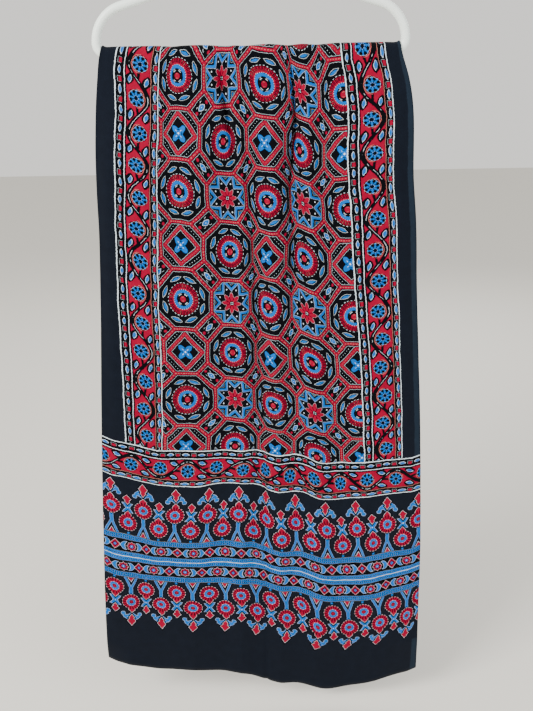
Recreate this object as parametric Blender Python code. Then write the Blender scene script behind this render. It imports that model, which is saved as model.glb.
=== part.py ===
"""A block-printed cotton stole hung over the lower bar of a plastic hanger.

Metres, +Z up, the stole's front facing -Y. The origin is the seat inside the hanger's hook.
The stole is one sheet. A place on it is given on the flat cloth: its width from the left selvedge
and its fall, the length of cloth down from the bar's crest, positive in front and negative behind.
"""

import math

import bmesh
import bpy
import numpy as np

# The stole as it was cut
CLOTH_WIDTH = 0.558
CLOTH_LENGTH = 2.030
CLOTH_THICKNESS = 0.0010

# The hanger's tube, outline and hook
HANGER_WIDTH = 0.445
TUBE_RADIUS = 0.0064
LOWER_CORNER_RADIUS = 0.014
SHOULDER_RADIUS = 0.050
APEX_RADIUS = 0.040
SHOULDER_HEIGHT = 0.0514
ARM_SLOPE = 0.296
APEX_ABOVE_BAR = SHOULDER_HEIGHT + (HANGER_WIDTH / 2 - TUBE_RADIUS) * ARM_SLOPE
TUBE_SIDES = 16
NECK_RADIUS = 0.0078
NECK_HEIGHT = 0.018
NECK_SUNK = 0.006
NECK_CHAMFER = (0.0022, 0.004)
HOOK_RADIUS = 0.0215
HOOK_ROD_RADIUS = 0.0038
HOOK_TIP_RADIUS = 0.0047
HOOK_CENTRE_ABOVE_APEX = 0.0526
HOOK_START_DEGREES = -62
HOOK_END_DEGREES = 205
HOOK_STEM_RADIUS = 0.014
HOOK_GAP = 0.0003
HANGER_COLOR = (0.86, 0.94, 0.92)
HANGER_ROUGHNESS = 0.35

# How the stole lies on the bar
BAR_GAP = 0.0005
BEND_RADIUS = TUBE_RADIUS + BAR_GAP + CLOTH_THICKNESS / 2
END_RISE_FROM = 0.199
END_RISE = 45.0

# Length of cloth in front, by its place across, because the stole was laid unevenly
FRONT_LENGTHS = [  # (place across, length from the crest to the front hem)
    (0.000, 1.029),
    (0.035, 1.036),
    (0.095, 1.053),
    (0.140, 1.057),
    (0.215, 1.054),
    (0.250, 1.056),
    (0.290, 1.068),
    (0.350, 1.074),
    (0.400, 1.086),
    (0.460, 1.082),
    (0.510, 1.074),
    (0.558, 1.073),
]

# The stole is squeezed at the bar and spreads as it falls
LEFT_EDGES = [  # (fall, where the left selvedge hangs)
    (0.00, -0.2070),
    (0.02, -0.2125),
    (0.05, -0.2170),
    (0.12, -0.2240),
    (0.20, -0.2285),
    (0.26, -0.2300),
    (0.36, -0.2360),
    (0.58, -0.2515),
    (0.76, -0.2635),
    (0.94, -0.2737),
    (1.06, -0.2780),
]

# Each fold's place across at the bar and at the hem, its spread on the flat cloth, and the width
# that it takes in at each of these falls
FOLD_FALLS = (0.00, 0.05, 0.20, 0.36, 0.58, 0.82, 1.06)
FOLDS = {  # name: (place at the bar, place at the hem, spread, widths taken in)
    "left selvedge": (0.000, 0.000, 0.060, (0.0110, 0.0085, 0.0075, 0.0090, 0.0020, 0.0010, 0.0)),
    "beside the border": (0.116, 0.116, 0.070, (0.0180, 0.0150, 0.0080, 0.0010, 0.0, 0.0, 0.0)),
    "second column": (0.212, 0.200, 0.100, (0.0230, 0.0190, 0.0120, 0.0080, 0.0060, 0.0030, 0.0010)),
    "middle": (0.262, 0.279, 0.100, (0.0240, 0.0210, 0.0230, 0.0250, 0.0200, 0.0090, 0.0030)),
    "fourth column": (0.352, 0.345, 0.100, (0.0330, 0.0305, 0.0280, 0.0220, 0.0120, 0.0050, 0.0020)),
    "fifth column": (0.420, 0.428, 0.096, (0.0240, 0.0200, 0.0160, 0.0110, 0.0070, 0.0030, 0.0010)),
    "right selvedge": (0.558, 0.558, 0.060, (0.0110, 0.0060, 0.0025, 0.0025, 0.0015, 0.0010, 0.0)),
}
FOLD_DEPTH_FACTOR = 0.34
RIDGE_MARGIN = 1.08
FOLD_START_SHARE = 0.12
FOLD_FULL_FALL = 0.18
BACK_FOLD_SHARE = 0.85
BACK_FOLD_DRIFT = 0.030

# The front hem's own unevenness and its two curled corners
HEM_ZONE = 0.380
HEM_LIFTS = [  # (place across, how much higher the hem hangs)
    (0.000, 0.012),
    (0.136, 0.010),
    (0.217, -0.004),
    (0.298, -0.011),
    (0.380, -0.006),
    (0.460, 0.000),
    (0.520, 0.006),
    (0.558, 0.012),
]
CURL_REACHES = (0.040, 0.075)
CURL_BACK = 0.012
CURL_UP = 0.012
CURL_IN = 0.005

# The mesh of the solid
COLUMNS = 36
FRONT_ROWS = 24
BEND_ROWS = 8
BACK_ROWS = 17
ROW_CROWDING = 1.15
CORNER_STEPS = 8
HOOK_STEPS = 30
HOOK_SIDES = 12


def smooth_step(value):
    """Goes softly from 0 to 1 as value does."""
    value = np.clip(value, 0.0, 1.0)
    return value * value * (3.0 - 2.0 * value)


def read_table(rows, place):
    """Reads a smooth curve through a table's rows at a place."""
    at = np.array([row[0] for row in rows])
    values = np.array([row[1] for row in rows])
    slopes = np.gradient(values, at)
    place = np.clip(place, at[0], at[-1])
    i = np.clip(np.searchsorted(at, place) - 1, 0, len(at) - 2)
    span = at[i + 1] - at[i]
    t = (place - at[i]) / span
    start = (1 + 2 * t) * (1 - t) ** 2 * values[i] + t * (1 - t) ** 2 * span * slopes[i]
    end = t * t * (3 - 2 * t) * values[i + 1] + t * t * (t - 1) * span * slopes[i + 1]
    return start + end


def fold_share(across, centre, spread):
    """The part of a fold's width that lies left of a place, from 0 to 1."""
    s = np.clip((across - centre) / spread, -0.5, 0.5)
    return s + 0.5 + np.sin(2 * math.pi * s) / (2 * math.pi)


def fold_profile(across, centre, spread):
    """A fold's trough, 1 in its middle and 0 at its sides."""
    s = np.clip((across - centre) / spread, -0.5, 0.5)
    return 0.5 + 0.5 * np.cos(2 * math.pi * s)


def fold_place(fold, fall):
    """Where a fold's middle lies across the cloth at a fall."""
    at_bar, at_hem = fold[0], fold[1]
    drift = BACK_FOLD_DRIFT * (at_bar / CLOTH_WIDTH - 0.5) if fall < 0 else 0.0
    inside = 0.0 < at_bar < CLOTH_WIDTH
    way = min(abs(fall) / FOLD_FALLS[-1], 1.0)
    return at_bar + (at_hem - at_bar + (drift if inside else 0.0)) * way


def taken_in(fold, fall):
    """The width that a fold takes in at a fall."""
    return max(read_table(list(zip(FOLD_FALLS, fold[3])), abs(fall)), 0.0)


def hang_across(across, fall):
    """Where a place across the cloth hangs in X."""
    x = read_table(LEFT_EDGES, abs(fall)) + across
    for fold in FOLDS.values():
        centre = fold_place(fold, fall)
        low = fold_share(0.0, centre, fold[2])
        high = fold_share(CLOTH_WIDTH, centre, fold[2])
        share = (fold_share(across, centre, fold[2]) - low) / (high - low)
        x -= taken_in(fold, fall) * share
    return x


def stand_out(across, fall):
    """How far the cloth stands out from the bar's tangent plane, 0 in the deepest trough."""
    depths = []
    troughs = []
    for fold in FOLDS.values():
        depth = FOLD_DEPTH_FACTOR * math.sqrt(taken_in(fold, fall) * fold[2])
        depths.append(depth)
        troughs.append(depth * fold_profile(across, fold_place(fold, fall), fold[2]))
    trough = sum(t**3 for t in troughs) ** (1 / 3)
    start = smooth_step(abs(fall) / FOLD_FULL_FALL)
    grown = FOLD_START_SHARE + (1 - FOLD_START_SHARE) * start
    side = BACK_FOLD_SHARE if fall < 0 else 1.0
    side = 1.0 + (side - 1.0) * start
    return max(RIDGE_MARGIN * max(depths) - trough, 0.0) * grown * side


def corner_curl(across, from_hem):
    """How much a front hem corner curls back at a place: 0 outside it, 1 at its tip."""
    left = max(0.0, 1 - across / CURL_REACHES[0]) * max(0.0, 1 - from_hem / CURL_REACHES[0])
    right = max(0.0, 1 - (CLOTH_WIDTH - across) / CURL_REACHES[1])
    right *= max(0.0, 1 - from_hem / CURL_REACHES[1])
    return left, right


def hang(across, fall, bar_height):
    """Puts a place of the flat cloth where it hangs."""
    front_length = read_table(FRONT_LENGTHS, across)
    x = hang_across(across, fall)
    reach = BEND_RADIUS + stand_out(across, fall)
    end = max(abs(hang_across(across, 0.0)) - END_RISE_FROM, 0.0)
    crest = bar_height + END_RISE * end * end
    turn = fall / BEND_RADIUS
    if abs(turn) < math.pi / 2:
        y = -reach * math.sin(turn)
        return x, y, crest + reach * math.cos(turn)
    y = math.copysign(reach, -fall)
    z = crest - (abs(fall) - BEND_RADIUS * math.pi / 2)
    if fall > 0:
        from_hem = front_length - fall
        z += read_table(HEM_LIFTS, across) * smooth_step(1 - from_hem / HEM_ZONE)
        left, right = corner_curl(across, from_hem)
        y += CURL_BACK * (left + right)
        z += CURL_UP * (left + right)
        x += CURL_IN * (left - right)
    return x, y, z


def falls_at(across):
    """The falls of the mesh's rows at a place across, from the front hem to the back hem."""
    bend = BEND_RADIUS * math.pi / 2
    front = read_table(FRONT_LENGTHS, across)
    back = CLOTH_LENGTH - front
    rows = [bend + (front - bend) * (1 - i / FRONT_ROWS) ** ROW_CROWDING for i in range(FRONT_ROWS)]
    rows += [bend * (1 - 2 * i / BEND_ROWS) for i in range(BEND_ROWS)]
    rows += [-bend - (back - bend) * (i / BACK_ROWS) ** ROW_CROWDING for i in range(BACK_ROWS + 1)]
    return rows


def add_object(name, mesh, color, roughness):
    """Adds a mesh as a node with a material of its own."""
    material = bpy.data.materials.new(name)
    material.use_nodes = True
    shader = material.node_tree.nodes["Principled BSDF"]
    shader.inputs["Base Color"].default_value = (*color, 1.0)
    shader.inputs["Roughness"].default_value = roughness
    shader.inputs["Metallic"].default_value = 0.0
    mesh.materials.append(material)
    made = bpy.data.objects.new(name, mesh)
    bpy.context.scene.collection.objects.link(made)
    return made


def build_cloth(bar_height):
    """Builds the stole as one thin solid in its folds."""
    bm = bmesh.new()
    grid = []
    for i in range(COLUMNS + 1):
        across = CLOTH_WIDTH * i / COLUMNS
        grid.append([bm.verts.new(hang(across, fall, bar_height)) for fall in falls_at(across)])
    for left, right in zip(grid, grid[1:]):
        for j in range(len(left) - 1):
            bm.faces.new((left[j], right[j], right[j + 1], left[j + 1]))
    mesh = bpy.data.meshes.new("cloth")
    bm.to_mesh(mesh)
    bm.free()
    cloth = add_object("cloth", mesh, (0.060, 0.028, 0.045), 0.85)
    mesh.shade_smooth()
    solidify = cloth.modifiers.new("thickness", "SOLIDIFY")
    solidify.thickness = CLOTH_THICKNESS
    solidify.offset = 0.0
    return cloth


def rounded_path(corners):
    """Turns corner points (x, z, radius) into a path whose corners are arcs."""
    path = []
    for i, (x, z, radius) in enumerate(corners):
        if radius == 0:
            path.append((x, z))
            continue
        before = corners[i - 1]
        after = corners[(i + 1) % len(corners)]
        to_before = np.array([before[0] - x, before[1] - z])
        to_after = np.array([after[0] - x, after[1] - z])
        to_before /= np.linalg.norm(to_before)
        to_after /= np.linalg.norm(to_after)
        half = math.acos(float(np.dot(to_before, to_after))) / 2
        middle = (to_before + to_after) / np.linalg.norm(to_before + to_after)
        centre = np.array([x, z]) + middle * radius / math.sin(half)
        start = np.array([x, z]) + to_before * radius / math.tan(half) - centre
        end = np.array([x, z]) + to_after * radius / math.tan(half) - centre
        swing = math.pi - 2 * half
        side = 1 if start[0] * end[1] - start[1] * end[0] > 0 else -1
        for step in range(CORNER_STEPS + 1):
            turn = side * swing * step / CORNER_STEPS
            path.append((
                centre[0] + start[0] * math.cos(turn) - start[1] * math.sin(turn),
                centre[1] + start[0] * math.sin(turn) + start[1] * math.cos(turn),
            ))
    return path


def tube_mesh(name, path, radii, sides, closed):
    """Sweeps a round section along a path in the XZ plane."""
    bm = bmesh.new()
    rings = []
    count = len(path)
    for i, (x, z) in enumerate(path):
        before = path[i - 1] if closed or i > 0 else path[i]
        after = path[(i + 1) % count] if closed or i < count - 1 else path[i]
        along = np.array([after[0] - before[0], after[1] - before[1]])
        along /= np.linalg.norm(along)
        ring = []
        for side in range(sides):
            turn = 2 * math.pi * (side + 0.5) / sides
            out = radii[i] * math.cos(turn)
            y = radii[i] * math.sin(turn)
            ring.append(bm.verts.new((x - along[1] * out, y, z + along[0] * out)))
        rings.append(ring)
    pairs = list(zip(rings, rings[1:]))
    if closed:
        pairs.append((rings[-1], rings[0]))
    for first, second in pairs:
        for side in range(sides):
            following = (side + 1) % sides
            bm.faces.new((first[side], first[following], second[following], second[side]))
    if not closed:
        bm.faces.new(rings[0])
        bm.faces.new(rings[-1])
    bmesh.ops.recalc_face_normals(bm, faces=bm.faces)
    mesh = bpy.data.meshes.new(name)
    bm.to_mesh(mesh)
    bm.free()
    return mesh


def union(target, mesh, name):
    """Fuses a mesh into an object."""
    cutter = bpy.data.objects.new(name, mesh)
    bpy.context.scene.collection.objects.link(cutter)
    cutter.hide_render = True
    cutter.display_type = "WIRE"
    modifier = target.modifiers.new(name, "BOOLEAN")
    modifier.operation = "UNION"
    modifier.object = cutter


def build_hanger(bar_height):
    """Builds the moulded hanger's closed tube with its neck."""
    half = HANGER_WIDTH / 2 - TUBE_RADIUS
    shoulder = bar_height + SHOULDER_HEIGHT
    apex = bar_height + APEX_ABOVE_BAR
    frame = rounded_path([
        (-half, bar_height, LOWER_CORNER_RADIUS),
        (half, bar_height, LOWER_CORNER_RADIUS),
        (half, shoulder, SHOULDER_RADIUS),
        (0.0, apex, APEX_RADIUS),
        (-half, shoulder, SHOULDER_RADIUS),
    ])
    mesh = tube_mesh("hanger", frame, [TUBE_RADIUS] * len(frame), TUBE_SIDES, closed=True)
    hanger = add_object("hanger", mesh, HANGER_COLOR, HANGER_ROUGHNESS)

    neck_top = apex + NECK_HEIGHT
    neck_path = [(0.0, apex - NECK_SUNK), (0.0, neck_top - NECK_CHAMFER[1]), (0.0, neck_top)]
    neck_radii = [NECK_RADIUS, NECK_RADIUS, NECK_RADIUS - NECK_CHAMFER[0]]
    union(hanger, tube_mesh("neck", neck_path, neck_radii, TUBE_SIDES, closed=False), "neck")
    return hanger


def build_hook(bar_height):
    """Builds the hook that stands on the hanger's neck, with its rounded tip."""
    apex = bar_height + APEX_ABOVE_BAR
    foot = apex + NECK_HEIGHT + HOOK_GAP
    centre = apex + HOOK_CENTRE_ABOVE_APEX
    start = math.radians(HOOK_START_DEGREES)
    end = math.radians(HOOK_END_DEGREES)
    turns = [start + (end - start) * i / HOOK_STEPS for i in range(HOOK_STEPS + 1)]
    circle = [(HOOK_RADIUS * math.cos(a), centre + HOOK_RADIUS * math.sin(a)) for a in turns]
    bend_height = centre - HOOK_RADIUS / math.cos(math.pi / 2 + start)
    stem = rounded_path([(0.0, foot, 0), (0.0, bend_height, HOOK_STEM_RADIUS), (*circle[0], 0)])
    rod = stem[:-1] + circle
    rod_radii = [HOOK_ROD_RADIUS] * len(rod)
    mesh = tube_mesh("hook", rod, rod_radii, HOOK_SIDES, closed=False)
    hook = add_object("hook", mesh, HANGER_COLOR, HANGER_ROUGHNESS)

    tip = bmesh.new()
    bmesh.ops.create_uvsphere(tip, u_segments=HOOK_SIDES, v_segments=8, radius=HOOK_TIP_RADIUS)
    bmesh.ops.translate(tip, verts=tip.verts, vec=(rod[-1][0], 0.0, rod[-1][1]))
    tip_mesh = bpy.data.meshes.new("tip")
    tip.to_mesh(tip_mesh)
    tip.free()
    union(hook, tip_mesh, "tip")
    return hook


def bar_height_below_seat():
    """Height of the bar's axis, which puts the hook's seat at the origin."""
    return -(APEX_ABOVE_BAR + HOOK_CENTRE_ABOVE_APEX + HOOK_RADIUS - HOOK_ROD_RADIUS)


def main():
    """Clears the scene and builds the hanger with its stole."""
    for old in list(bpy.data.objects):
        bpy.data.objects.remove(old)
    bar_height = bar_height_below_seat()
    build_hanger(bar_height)
    build_hook(bar_height)
    build_cloth(bar_height)


main()
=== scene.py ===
"""A block-printed ajrakh stole hung over the lower bar of a white plastic hanger.

Metres, +Z up, the stole's front facing -Y, with the seat inside the hanger's hook at the origin.
A place on the stole is given on the flat cloth: its width from the left selvedge, and its fall,
the length of cloth down from the bar's crest, positive in front and negative behind. The print is
drawn in millimetres on the flat cloth, in the cloth's own UV map, so it bends with the folds.
"""

import logging
import math
from dataclasses import dataclass
from enum import Enum
from typing import Optional, Sequence, Union

import bmesh
import bpy
import numpy as np
from mathutils import Euler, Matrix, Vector

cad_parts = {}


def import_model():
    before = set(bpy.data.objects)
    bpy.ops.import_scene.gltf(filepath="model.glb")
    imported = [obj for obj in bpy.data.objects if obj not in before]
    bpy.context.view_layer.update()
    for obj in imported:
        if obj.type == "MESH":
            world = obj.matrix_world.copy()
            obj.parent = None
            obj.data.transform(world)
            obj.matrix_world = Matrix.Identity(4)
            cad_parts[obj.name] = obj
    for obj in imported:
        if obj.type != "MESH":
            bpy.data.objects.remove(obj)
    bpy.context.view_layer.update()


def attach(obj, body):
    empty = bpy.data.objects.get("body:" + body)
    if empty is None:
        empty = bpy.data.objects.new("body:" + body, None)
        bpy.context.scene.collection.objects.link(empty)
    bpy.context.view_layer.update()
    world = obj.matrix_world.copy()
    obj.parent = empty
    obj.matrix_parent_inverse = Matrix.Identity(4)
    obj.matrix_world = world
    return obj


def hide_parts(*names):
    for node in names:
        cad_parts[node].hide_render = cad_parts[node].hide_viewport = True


log = logging.getLogger("ajrakh_stole")

PHOTO_HEIGHT_PX = 711
STOLE_LENGTH = 2.030
HALF_LENGTH_MM = 500 * STOLE_LENGTH
SQRT_HALF = math.sqrt(0.5)
FINE_EDGE = 0.4
Number = Union["Reading", float]


def linear(shade: str) -> tuple[float, float, float, float]:
    """Turns an sRGB hex value into a linear colour.

    Args:
        shade: The colour as six hex digits after a hash.

    Returns:
        The colour's linear red, green, blue and alpha.
    """
    parts = [int(shade[i : i + 2], 16) / 255 for i in (1, 3, 5)]
    red, green, blue = (p / 12.92 if p <= 0.04045 else ((p + 0.055) / 1.055) ** 2.4 for p in parts)
    return red, green, blue, 1.0


def smooth_step(value: np.ndarray) -> np.ndarray:
    """Goes softly from 0 to 1 as value does."""
    value = np.clip(value, 0.0, 1.0)
    return value * value * (3.0 - 2.0 * value)


def read_table(rows: Sequence[tuple[float, float]], place: np.ndarray) -> np.ndarray:
    """Reads a smooth curve through a table's rows.

    Args:
        rows: The table's places and values.
        place: Where it is read.

    Returns:
        The curve's value at each place.
    """
    at = np.array([row[0] for row in rows])
    values = np.array([row[1] for row in rows])
    slopes = np.gradient(values, at)
    place = np.clip(place, at[0], at[-1])
    i = np.clip(np.searchsorted(at, place) - 1, 0, len(at) - 2)
    span = at[i + 1] - at[i]
    t = (place - at[i]) / span
    start = (1 + 2 * t) * (1 - t) ** 2 * values[i] + t * (1 - t) ** 2 * span * slopes[i]
    end = t * t * (3 - 2 * t) * values[i + 1] + t * t * (t - 1) * span * slopes[i + 1]
    return start + end


def put_in_scene(name: str, data: bpy.types.ID) -> bpy.types.Object:
    """Makes an object in the scene.

    Args:
        name: The object's name.
        data: Its mesh, light or camera.

    Returns:
        The object.
    """
    made = bpy.data.objects.new(name, data)
    bpy.context.scene.collection.objects.link(made)
    return made


def mesh_object(name: str, bm: bmesh.types.BMesh) -> bpy.types.Object:
    """Makes an object of a built mesh and frees the builder.

    Args:
        name: The object's and the mesh's name.
        bm: The built mesh.

    Returns:
        The object.
    """
    mesh = bpy.data.meshes.new(name)
    bm.to_mesh(mesh)
    bm.free()
    return put_in_scene(name, mesh)


class Reading:
    """A number that varies over a surface: a node's output, with arithmetic on it."""

    def __init__(self, drawing: "Drawing", socket: bpy.types.NodeSocket) -> None:
        """Takes the drawing and the output."""
        self.drawing = drawing
        self.socket = socket

    def output(self, name: str) -> bpy.types.NodeSocket:
        """Gives another output of the same node."""
        return self.socket.node.outputs[name]

    def maths(self, operation: str, *others: Number) -> "Reading":
        """Adds a maths node that takes this value and the others."""
        takes = dict(enumerate((self, *others)))
        return self.drawing.add_node("ShaderNodeMath", {"operation": operation}, takes)

    def __add__(self, other: Number) -> "Reading":
        """Adds a value."""
        return self.maths("ADD", other)

    __radd__ = __add__

    def __sub__(self, other: Number) -> "Reading":
        """Takes a value away."""
        return self.maths("SUBTRACT", other)

    def __rsub__(self, other: float) -> "Reading":
        """Is taken away from a value."""
        return self.drawing.add_node("ShaderNodeMath", {"operation": "SUBTRACT"}, {0: other, 1: self})

    def __mul__(self, other: Number) -> "Reading":
        """Multiplies by a value."""
        return self.maths("MULTIPLY", other)

    __rmul__ = __mul__

    def __truediv__(self, other: float) -> "Reading":
        """Divides by a value."""
        return self * (1.0 / other)

    def __abs__(self) -> "Reading":
        """Drops the sign."""
        return self.maths("ABSOLUTE")

    def low(self, other: Number) -> "Reading":
        """Takes the lower of two values: either shape."""
        return self.maths("MINIMUM", other)

    def high(self, other: Number) -> "Reading":
        """Takes the higher of two values: where both shapes are."""
        return self.maths("MAXIMUM", other)

    def over(self, other: Number) -> "Reading":
        """Gives 1 above a value and 0 below."""
        return self.maths("GREATER_THAN", other)

    def folded(self, half: float) -> "Reading":
        """Folds the value to and fro: the distance from the nearest multiple of twice half."""
        return self.maths("PINGPONG", half)

    def wrapped(self, step: float) -> "Reading":
        """Starts again from 0 at every step."""
        return self.maths("WRAP", step, 0.0)

    def sine(self) -> "Reading":
        """Takes the sine."""
        return self.maths("SINE")

    def cosine(self) -> "Reading":
        """Takes the cosine."""
        return self.maths("COSINE")

    def angle(self, other: "Reading") -> "Reading":
        """Gives the angle of the point (other, self)."""
        return self.maths("ARCTAN2", other)

    def span(self, other: "Reading") -> "Reading":
        """Gives the length of the point (self, other) from its centre."""
        return (self * self + other * other).maths("SQRT")


class Drawing:
    """One material's nodes."""

    def __init__(self, name: str) -> None:
        """Starts an empty material."""
        self.material = bpy.data.materials.new(name)
        self.material.use_nodes = True
        self.tree = self.material.node_tree
        self.tree.nodes.clear()

    def add_node(self, kind: str, settings: dict, links: dict) -> Reading:
        """Adds a node with its settings and links.

        Args:
            kind: The node's type.
            settings: The node's own properties by name.
            links: What each input takes, by its name or place: a reading, an output or a value.

        Returns:
            The node's first output in use.
        """
        node = self.tree.nodes.new(kind)
        place = len(self.tree.nodes)
        node.location = (180 * (place % 24), -220 * (place // 24))
        for name, value in settings.items():
            setattr(node, name, value)
        for name, value in links.items():
            value = value.socket if isinstance(value, Reading) else value
            if isinstance(value, bpy.types.NodeSocket):
                self.tree.links.new(value, node.inputs[name])
            else:
                node.inputs[name].default_value = value
        shown = [output for output in node.outputs if output.enabled]
        return Reading(self, shown[0]) if shown else None


@dataclass(frozen=True)
class Dyes:
    """The colours of ajrakh printing, as sRGB hex values."""

    ground: str = "#0D121C"
    black: str = "#020308"
    madder: str = "#8A0028"
    indigo: str = "#005CAC"
    white: str = "#D6E4EE"
    rosy: str = "#B47266"
    selvedge: str = "#18222E"

    def creep(self, shade: str) -> float:
        """Says how far a printed shape shrinks as the black creeps over its edge.

        Args:
            shade: The dye's colour.

        Returns:
            The width lost at the edge, in millimetres, less than none where the dye spreads.
        """
        return {self.white: 0.15, self.rosy: 0.08, self.black: -0.22}.get(shade, 0.0)


@dataclass(frozen=True)
class BlockPrintedCotton:
    """Plain-woven cotton, mordant printed and dyed with wood blocks.

    The weave gives a dull, dry surface with a faint fuzz at its edges. The blocks are set by hand,
    so lines waver by about half a millimetre and each dye lies unevenly.
    """

    dyes: Dyes = Dyes()
    roughness: float = 0.88
    sheen: float = 0.03
    # Real threads lie 0.35 mm apart, too fine to show, so they are drawn at 0.9 mm
    thread_mm: float = 0.9
    slip_size_mm: float = 30.0
    slip_mm: float = 1.5
    ragged_size_mm: float = 3.0
    ragged_mm: float = 0.7


class Printing:
    """A stretch of the stole's print: a cotton ground with dyes stamped on it one after another."""

    def __init__(self, name: str, cotton: BlockPrintedCotton, ground: str) -> None:
        """Starts with the bare dyed ground and the place on the flat cloth, in millimetres."""
        self.cotton = cotton
        self.drawing = Drawing(name)
        add = self.drawing.add_node
        flat = add("ShaderNodeUVMap", {"uv_map": "cloth"}, {})
        self.flat_mm = add("ShaderNodeVectorMath", {"operation": "SCALE"}, {0: flat, "Scale": 1000.0})
        place = self.flat_mm
        for size, amount in (
            (cotton.slip_size_mm, cotton.slip_mm),
            (cotton.ragged_size_mm, cotton.ragged_mm),
        ):
            slip = add("ShaderNodeTexNoise", {"noise_dimensions": "2D"},
                       {"Vector": self.flat_mm, "Scale": 1.0 / size, "Detail": 1.0})
            middle = add("ShaderNodeVectorMath", {"operation": "SUBTRACT"},
                         {0: slip.output("Color"), 1: (0.5, 0.5, 0.5)})
            place = add("ShaderNodeVectorMath", {"operation": "MULTIPLY_ADD"},
                        {0: middle, 1: (2 * amount, 2 * amount, 0.0), 2: place})
        parts = add("ShaderNodeSeparateXYZ", {}, {0: place})
        self.across = Reading(self.drawing, parts.output("X"))
        self.lengthwise = Reading(self.drawing, parts.output("Y"))
        self.from_hem = self.lengthwise.folded(HALF_LENGTH_MM)
        patches = add("ShaderNodeTexNoise", {"noise_dimensions": "2D"},
                      {"Vector": self.flat_mm, "Scale": 1 / 14, "Detail": 2.0})
        self.patches = Reading(self.drawing, patches.output("Fac"))
        self.within: Optional[Reading] = None
        self.colour = add("ShaderNodeMix", {"data_type": "RGBA"},
                          {0: 0.0, 6: linear(ground), 7: linear(ground)})

    def stamp(self, shade: str, shape: Reading, edge: float = 0.5) -> None:
        """Prints a dye wherever a shape is below zero.

        Args:
            shade: The dye's colour.
            shape: Roughly the distance outside the shape, in millimetres.
            edge: The width over which the dye fades out.
        """
        if self.within:
            shape = shape.high(self.within)
        creep = self.cotton.dyes.creep(shade)
        cover = self.drawing.add_node("ShaderNodeMath", {"operation": "MULTIPLY_ADD", "use_clamp": True},
                                      {0: shape, 1: -1.0 / edge, 2: 0.5 - creep / edge})
        self.colour = self.drawing.add_node("ShaderNodeMix", {"data_type": "RGBA"},
                                            {0: cover, 6: self.colour, 7: linear(shade)})

    def trace(self, shade: str, shape: Reading) -> None:
        """Prints a fine line or dot, with a crisper edge."""
        self.stamp(shade, shape, FINE_EDGE)

    def outline(self, shade: str, shape: Reading, rim: float) -> None:
        """Prints a shape with a white rim of a given width."""
        self.trace(self.cotton.dyes.white, shape - rim)
        self.stamp(shade, shape)

    def finish(self) -> bpy.types.Material:
        """Adds the cotton's weave and unevenness to the colours and makes the surface.

        Returns:
            The finished material.
        """
        add = self.drawing.add_node
        parts = add("ShaderNodeSeparateXYZ", {}, {0: self.flat_mm})
        turn = 2 * math.pi / self.cotton.thread_mm
        warp = (Reading(self.drawing, parts.output("X")) * turn).sine()
        weft = (Reading(self.drawing, parts.output("Y")) * turn).sine()
        weave = warp * weft
        blotch = add("ShaderNodeTexNoise", {"noise_dimensions": "2D"},
                     {"Vector": self.flat_mm, "Scale": 1 / 2.4, "Detail": 3.0, "Roughness": 0.65})
        slub = Reading(self.drawing, blotch.output("Fac"))
        strength = slub * 0.42 + self.patches * 0.36 + weave * 0.035 + 0.61
        colour = add("ShaderNodeVectorMath", {"operation": "SCALE"}, {0: self.colour, "Scale": strength})
        height = weave * 0.12 + slub * 0.5
        bump = add("ShaderNodeBump", {}, {"Strength": 0.28, "Distance": 0.0006, "Height": height})
        surface = add("ShaderNodeBsdfPrincipled", {}, {
            "Base Color": colour, "Roughness": self.cotton.roughness, "Normal": bump,
            "Sheen Weight": self.cotton.sheen, "Sheen Roughness": 0.5, "Specular IOR Level": 0.06,
        })
        add("ShaderNodeOutputMaterial", {}, {"Surface": surface})
        return self.drawing.material


class Pattern:
    """A design that is stamped on a stretch of cotton."""

    def __init__(self, printing: Printing) -> None:
        """Takes the printing, its dyes and its ways to print."""
        self.printing = printing
        self.dyes = printing.cotton.dyes
        self.stamp = printing.stamp
        self.trace = printing.trace
        self.outline = printing.outline


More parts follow.
